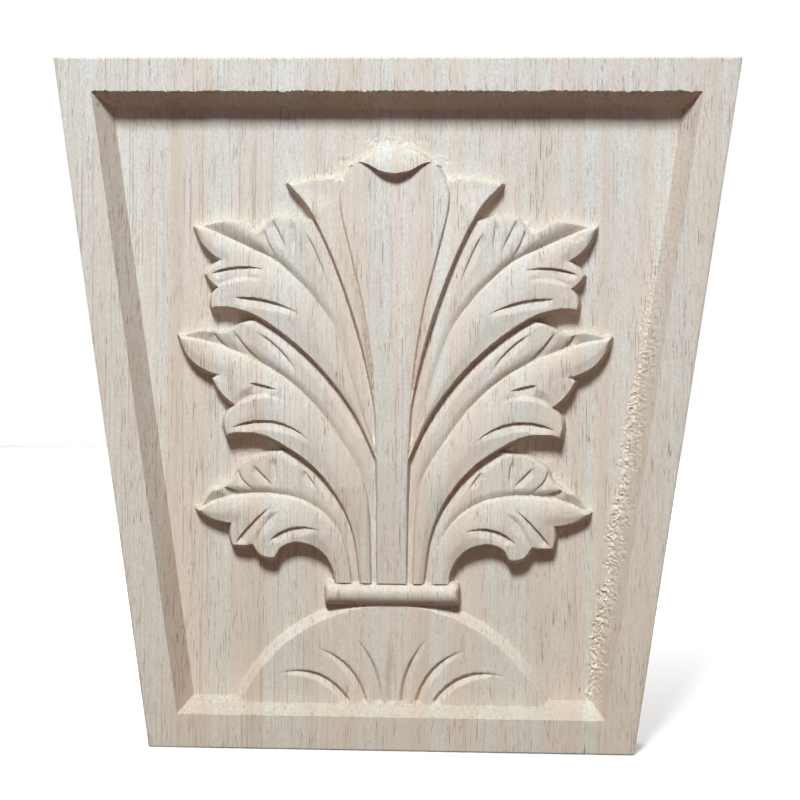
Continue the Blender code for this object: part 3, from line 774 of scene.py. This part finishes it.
class ToolSettings(PropertyGroup):
    """Marks that the carver's tools leave."""

    ripple: metres("Ripple", "Unevenness of the hand-levelled ground", 0.00007)
    chatter: metres("Chatter", "Height of the cutter's scallops", 0.00045)
    torn_height: metres("Torn fibres", "Height of the torn fibres", 0.00022)
    fray: metres("Fray", "Height of the fibres frayed at the top wall", 0.00035)
    edge_wear: metres("Edge wear", "Rounding of the outer edge", 0.0003)


class WoodSettings(PropertyGroup):
    """Colours of the pale wood."""

    pale: tone("Pale", "The lightest staves", (0.575, 0.585, 0.575))
    rosy: tone("Rosy", "The pinkish staves", (0.585, 0.525, 0.485))
    tan: tone("Tan", "The brownish staves", (0.50, 0.43, 0.35))
    pore: tone("Pore", "The open pores", (0.28, 0.19, 0.13))
    streak: tone("Streak", "Long brown streaks in the grain", (0.40, 0.30, 0.245))
    # Painted shade: the darker, browner tint of walls that look sideways or down.
    painted_wall_shade: tone("Cut wall", "Walls cut against the fibres", (1.0, 0.8, 0.7))
    end_grain: tone("End grain", "Steep walls that look up", (0.86, 0.87, 0.86))
    torn: tone("Torn fibre", "Fuzzy fibres that stand proud", (0.66, 0.61, 0.49))
    # A tint that makes the colour warmer and darker towards the bottom of the board.
    foot: tone("Foot", "How the wood warms towards its foot", (1.0, 0.91, 0.80))


class StageSettings(PropertyGroup):
    """Camera and studio light."""

    camera_place: FloatVectorProperty(name="Camera", description="Where the camera stands",
                                      subtype="TRANSLATION", unit="LENGTH",
                                      default=(0.02673, -0.57196, 0.01693))
    camera_turn: FloatVectorProperty(name="Camera turn", description="How the camera is turned",
                                     subtype="EULER", unit="ROTATION",
                                     default=(radians(88.4686), radians(-0.4239),
                                              radians(2.5081)))
    lens: FloatProperty(name="Lens", description="Focal length in millimetres", default=72.0)
    key_power: watts("Key light", "Power of the key light", 6.9)
    fill_power: watts("Fill light", "Power of the warm fill light", 0.21)
    floor_power: watts("Floor light", "Power of the light on the floor", 20.0)
    side_power: watts("Side lights", "Power of each side light", 4.0)


def deselect_all():
    """Leave nothing selected."""
    bpy.ops.object.select_all(action="DESELECT")


def panel_object():
    """Return the carved panel, and make it the only selected object."""
    panel = bpy.data.objects.get(PANEL_NAME)
    if panel is None:
        raise RuntimeError("cut the board first")
    deselect_all()
    panel.select_set(True)
    bpy.context.view_layer.objects.active = panel
    return panel


def read_points(panel):
    """Return the panel's points in metres, one to a row."""
    points = np.empty(len(panel.data.vertices) * 3)
    panel.data.vertices.foreach_get("co", points)
    return points.reshape(-1, 3)


def move_points(panel, across, front, up):
    """Move the panel's points to places given in millimetres."""
    points = np.stack([across, front, up], axis=1)
    panel.data.vertices.foreach_set("co", points.ravel() * MM)
    panel.data.update()


class APPLIQUE_OT_cut_board(Operator):
    """Cut the front of the tapered board as a fine grid that follows its sides and field"""

    bl_idname = "applique.cut_board"
    bl_label = "Cut the board"

    def execute(self, context):
        board = Board(context.scene.applique_board)
        across_stops, middle = board.across_stops()
        up_stops = board.up_stops()
        deselect_all()
        bpy.ops.mesh.primitive_grid_add(x_subdivisions=len(across_stops) - 1,
                                        y_subdivisions=len(up_stops) - 1, size=2)
        panel = context.active_object
        panel.name = PANEL_NAME
        panel.data.name = PANEL_NAME
        shares = (read_points(panel) + 1) / 2
        columns = np.rint(shares[:, 0] * (len(across_stops) - 1)).astype(int)
        rows = np.rint(shares[:, 1] * (len(up_stops) - 1)).astype(int)
        up = up_stops[rows]
        across = board.fitted(across_stops[columns], up, middle)
        move_points(panel, across, np.full(len(up), -THICKNESS), up)
        return {"FINISHED"}


class APPLIQUE_OT_carve_field(Operator):
    """Sink the field into the board and leave the acanthus spray standing in it"""

    bl_idname = "applique.carve_field"
    bl_label = "Carve the field"

    def execute(self, context):
        board = Board(context.scene.applique_board)
        tools = context.scene.applique_tools
        panel = panel_object()
        points = read_points(panel) / MM
        sides = np.where(points[:, 0] < 0, -1.0, 1.0)
        places = np.stack([np.abs(points[:, 0]), points[:, 2]], axis=1)
        table = carved_table(places, board, len(board.across_stops()[0]), len(board.up_stops()))
        places = table[..., :2].reshape(-1, 2)
        marks, torn = tool_marks(places, sides, board, tools)
        torn = np.maximum(torn, torn_brows(table[..., 2], table[..., 1]).ravel())
        ragged = frayed_edge(places, sides, board, tools)
        depth = np.minimum(board.floor_depth(ragged), board.field_depth - table[..., 2].ravel())
        depth = np.maximum(depth - marks * ease(depth / MARKS_FADE), 0)
        to_edge = np.minimum(board.from_side(places), BOARD_HEIGHT / 2 - np.abs(places[:, 1]))
        wear = tools.edge_wear / MM
        depth += wear * np.clip(1 - to_edge / (2 * wear), 0, 1)**2
        fuzz = panel.data.attributes.new(TORN_FIBRES, "FLOAT", "POINT")
        fuzz.data.foreach_set("value", torn)
        move_points(panel, places[:, 0] * sides, depth - THICKNESS, places[:, 1])
        return {"FINISHED"}


class APPLIQUE_OT_close_board(Operator):
    """Draw the rim back to the flat back, close it and thin the mesh"""

    bl_idname = "applique.close_board"
    bl_label = "Close the board"

    def execute(self, context):
        panel = panel_object()
        bpy.ops.object.mode_set(mode="EDIT")
        bpy.ops.mesh.select_mode(type="EDGE")
        bpy.ops.mesh.select_all(action="DESELECT")
        bpy.ops.mesh.select_non_manifold(extend=False, use_wire=False, use_boundary=True,
                                         use_multi_face=False, use_non_contiguous=False,
                                         use_verts=False)
        bpy.ops.mesh.extrude_region_move()
        bpy.ops.transform.resize(value=(1, 0, 1), center_override=(0, 0, 0))
        bpy.ops.mesh.edge_face_add()
        bpy.ops.mesh.select_all(action="SELECT")
        bpy.ops.mesh.normals_make_consistent(inside=False)
        bpy.ops.mesh.quads_convert_to_tris(quad_method="SHORTEST_DIAGONAL")
        bpy.ops.object.mode_set(mode="OBJECT")
        thinning = panel.modifiers.new("thinning", "DECIMATE")
        thinning.ratio = context.scene.applique_board.triangles / len(panel.data.polygons)
        bpy.ops.object.modifier_apply(modifier=thinning.name)
        bpy.ops.object.shade_smooth_by_angle(angle=SHARP_ANGLE)
        shading = panel.modifiers.new("shading", "WEIGHTED_NORMAL")
        shading.keep_sharp = True
        bpy.ops.object.modifier_apply(modifier=shading.name)
        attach(panel, "root")
        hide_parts(PANEL_NODE)
        return {"FINISHED"}


class Finish:
    """A material's node tree, with short calls for the nodes that it needs."""

    def __init__(self, name):
        self.material = bpy.data.materials.new(name)
        self.material.use_nodes = True
        self.tree = self.material.node_tree
        self.shader = self.tree.nodes["Principled BSDF"]
        self.place = self.tree.nodes.new("ShaderNodeTexCoord").outputs["Object"]

    def link(self, source, target):
        """Connect two sockets."""
        self.tree.links.new(source, target)

    def grain(self, grain):
        """Add a noise stretched along the fibres."""
        mapping = self.tree.nodes.new("ShaderNodeMapping")
        mapping.inputs["Location"].default_value = [grain.start * share for share in START_SHARES]
        mapping.inputs["Scale"].default_value = (1 / grain.across, FLATNESS / grain.across,
                                                 1 / grain.along)
        noise = self.tree.nodes.new("ShaderNodeTexNoise")
        noise.inputs["Scale"].default_value = 1.0
        noise.inputs["Detail"].default_value = grain.detail
        self.link(self.place, mapping.inputs["Vector"])
        self.link(mapping.outputs["Vector"], noise.inputs["Vector"])
        return noise.outputs["Fac"]

    def parts(self, vector):
        """Split a vector into its X, Y and Z."""
        split = self.tree.nodes.new("ShaderNodeSeparateXYZ")
        self.link(vector, split.inputs["Vector"])
        return split.outputs

    def spread(self, value, low, high, bottom=0.0, top=1.0):
        """Stretch a value from low..high to bottom..top, held at both ends."""
        ranged = self.tree.nodes.new("ShaderNodeMapRange")
        ranged.inputs["From Min"].default_value = low
        ranged.inputs["From Max"].default_value = high
        ranged.inputs["To Min"].default_value = bottom
        ranged.inputs["To Max"].default_value = top
        self.link(value, ranged.inputs["Value"])
        return ranged.outputs["Result"]

    def share(self, grain):
        """Return the share that the range of a grain makes of it."""
        return self.spread(self.grain(grain), *grain.range)

    def math(self, operation, first, second):
        """Combine a value with another value or a number."""
        node = self.tree.nodes.new("ShaderNodeMath")
        node.operation = operation
        self.link(first, node.inputs[0])
        if isinstance(second, (int, float)):
            node.inputs[1].default_value = second
        else:
            self.link(second, node.inputs[1])
        return node.outputs[0]

    def tint(self, share, below, colour, blend="MIX"):
        """Lay a colour over another by a share."""
        mix = self.tree.nodes.new("ShaderNodeMix")
        mix.data_type = "RGBA"
        mix.blend_type = blend
        self.link(share, mix.inputs["Factor"])
        if isinstance(below, bpy.types.NodeSocket):
            self.link(below, mix.inputs["A"])
        else:
            mix.inputs["A"].default_value = (*below, 1)
        mix.inputs["B"].default_value = (*colour, 1)
        return mix.outputs["Result"]


def stave_colour(finish, colours, fibres):
    """Return the colour of the staves and their fibres, made warmer and darker towards the foot.
    """
    colour = finish.tint(finish.share(STAVES), colours.pale, colours.rosy)
    colour = finish.tint(finish.share(BROWN_STAVES), colour, colours.tan)
    colour = finish.tint(finish.spread(fibres, *FIBRES.range), colour, colours.tan)
    foot = finish.spread(finish.parts(finish.place)["Z"], *FOOT_RANGE)
    return finish.tint(foot, colour, colours.foot, "MULTIPLY")


def flecked_colour(finish, colour, colours, speckle):
    """Lay the speckle over a colour, and the long streaks, which are denser on the left."""
    colour = finish.tint(finish.spread(speckle, *SPECKLE.range), colour, colours.tan)
    left_side = finish.spread(finish.parts(finish.place)["X"], *LEFT_SIDE_RANGE)
    streaks = finish.math("MULTIPLY", finish.share(STREAKS), left_side)
    return finish.tint(streaks, colour, colours.streak)


def pore_share(finish):
    """Return the share of the long and short open pores, which gather in patches."""
    pores = finish.math("MAXIMUM", finish.share(LONG_PORES), finish.share(SHORT_PORES))
    return finish.math("MULTIPLY", pores, finish.share(PORE_PATCHES))


def wall_colour(finish, colour, colours):
    """Tint the steep walls: a painted shade, browner and darker, where they look sideways or
    down, and darker end grain where they look up.
    """
    normal = finish.parts(finish.tree.nodes.new("ShaderNodeNewGeometry").outputs["Normal"])
    steep = finish.spread(normal["Y"], *STEEP_RANGE)
    # Painted shade on the walls that look sideways or down, away from the key light.
    against = finish.math("MULTIPLY", steep, finish.spread(normal["Z"], *PAINTED_SHADE_RANGE))
    colour = finish.tint(against, colour, colours.painted_wall_shade, "MULTIPLY")
    end_grain = finish.math("MULTIPLY", steep, finish.spread(normal["Z"], *UPWARD_RANGE))
    return finish.tint(end_grain, colour, colours.end_grain, "MULTIPLY")


def torn_colour(finish, colour, colours):
    """Lay the fuzzy fibres over a colour, where the cutter tore them."""
    torn = finish.tree.nodes.new("ShaderNodeAttribute")
    torn.attribute_name = TORN_FIBRES
    fluff = finish.math("MULTIPLY", torn.outputs["Fac"], finish.share(FLUFF))
    return finish.tint(fluff, colour, colours.torn)


def pale_wood(colours):
    """Return the pale, open-pored wood, its grain running up the board."""
    finish = Finish("pale_wood")
    fibres = finish.grain(FIBRES)
    speckle = finish.grain(SPECKLE)
    pores = pore_share(finish)
    colour = stave_colour(finish, colours, fibres)
    colour = flecked_colour(finish, colour, colours, speckle)
    colour = finish.tint(pores, colour, colours.pore)
    colour = wall_colour(finish, colour, colours)
    colour = torn_colour(finish, colour, colours)
    finish.link(colour, finish.shader.inputs["Base Color"])
    finish.link(finish.spread(fibres, *ROUGHNESS_RANGE), finish.shader.inputs["Roughness"])
    finish.shader.inputs["Specular IOR Level"].default_value = SPECULAR
    raised = finish.math("ADD", finish.math("MULTIPLY", fibres, FIBRE_SHARE), speckle)
    bump = finish.tree.nodes.new("ShaderNodeBump")
    bump.inputs["Strength"].default_value = BUMP_STRENGTH
    bump.inputs["Distance"].default_value = BUMP_HEIGHT
    finish.link(finish.math("SUBTRACT", raised, pores), bump.inputs["Height"])
    finish.link(bump.outputs["Normal"], finish.shader.inputs["Normal"])
    return finish.material


class APPLIQUE_OT_finish_wood(Operator):
    """Give the carved panel its pale, open-pored wood"""

    bl_idname = "applique.finish_wood"
    bl_label = "Finish the wood"

    def execute(self, context):
        panel = panel_object()
        panel.data.materials.clear()
        panel.data.materials.append(pale_wood(context.scene.applique_wood))
        return {"FINISHED"}


def lay_floor():
    """Lay a pale floor under the panel."""
    bpy.ops.mesh.primitive_plane_add(size=FLOOR_SIZE, location=(0, 0, BOARD_LOW[2] * MM))
    floor = bpy.context.active_object
    floor.name = "studio_floor"
    finish = Finish("studio_white")
    finish.shader.inputs["Base Color"].default_value = (FLOOR_TONE, FLOOR_TONE, FLOOR_TONE, 1)
    finish.shader.inputs["Roughness"].default_value = FLOOR_ROUGHNESS
    floor.data.materials.append(finish.material)
    # The floor is seen but throws no light back, so that the shadows stay deep.
    floor.visible_diffuse = False


def studio_light(name, light, power):
    """Add a soft square light that looks at its target."""
    bpy.ops.object.light_add(type="AREA", location=light.place)
    lamp = bpy.context.active_object
    lamp.name = name
    lamp.data.size = light.size
    lamp.data.spread = radians(light.spread)
    lamp.data.energy = power
    lamp.data.color = light.colour
    aim = Vector(light.target) - Vector(light.place)
    lamp.rotation_euler = aim.to_track_quat("-Z", "Y").to_euler()
    lamp.visible_camera = False


def white_surround(scene):
    """Surround the stage with white that is seen but lights nothing, like a wall far away."""
    world = bpy.data.worlds.new("studio_world")
    scene.world = world
    world.use_nodes = True
    world.node_tree.nodes["Background"].inputs["Color"].default_value = (*WHITE, 1)
    world.cycles_visibility.diffuse = False
    world.cycles_visibility.glossy = False


class APPLIQUE_OT_set_stage(Operator):
    """Set the floor, the lights and the camera"""

    bl_idname = "applique.set_stage"
    bl_label = "Set the stage"

    def execute(self, context):
        stage = context.scene.applique_stage
        deselect_all()
        lay_floor()
        studio_light("key_light", KEY_LIGHT, stage.key_power)
        studio_light("fill_light", FILL_LIGHT, stage.fill_power)
        studio_light("floor_light", FLOOR_LIGHT, stage.floor_power)
        studio_light("far_light", FAR_LIGHT, stage.floor_power * FAR_LIGHT_SHARE)
        studio_light("left_light", LEFT_LIGHT, stage.side_power)
        studio_light("right_light", RIGHT_LIGHT, stage.side_power)
        white_surround(context.scene)
        bpy.ops.object.camera_add(location=stage.camera_place, rotation=stage.camera_turn)
        camera = context.active_object
        camera.data.lens = stage.lens
        context.scene.camera = camera
        context.scene.view_settings.view_transform = "Standard"
        return {"FINISHED"}


class APPLIQUE_PT_sidebar(Panel):
    """Sidebar panel that lists the carver's steps and their sizes"""

    bl_label = "Carved applique"
    bl_space_type = "VIEW_3D"
    bl_region_type = "UI"
    bl_category = "Applique"

    def draw(self, context):
        for step in STEPS:
            self.layout.operator(step.bl_idname)
        for group, _ in SETTINGS:
            settings = getattr(context.scene, group)
            for name in settings.__annotations__:
                self.layout.prop(settings, name)


SETTINGS = [("applique_board", BoardSettings), ("applique_tools", ToolSettings),
            ("applique_wood", WoodSettings), ("applique_stage", StageSettings)]
STEPS = [APPLIQUE_OT_cut_board, APPLIQUE_OT_carve_field, APPLIQUE_OT_close_board,
         APPLIQUE_OT_finish_wood, APPLIQUE_OT_set_stage]


def register():
    for name, group in SETTINGS:
        bpy.utils.register_class(group)
        setattr(bpy.types.Scene, name, PointerProperty(type=group))
    for step in STEPS:
        bpy.utils.register_class(step)
    bpy.utils.register_class(APPLIQUE_PT_sidebar)


def unregister():
    bpy.utils.unregister_class(APPLIQUE_PT_sidebar)
    for step in reversed(STEPS):
        bpy.utils.unregister_class(step)
    for name, group in reversed(SETTINGS):
        delattr(bpy.types.Scene, name)
        bpy.utils.unregister_class(group)


def main():
    """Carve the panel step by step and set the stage."""
    register()
    bpy.ops.applique.cut_board()
    bpy.ops.applique.carve_field()
    bpy.ops.applique.close_board()
    bpy.ops.applique.finish_wood()
    bpy.ops.applique.set_stage()


if __name__ == "__main__":
    main()
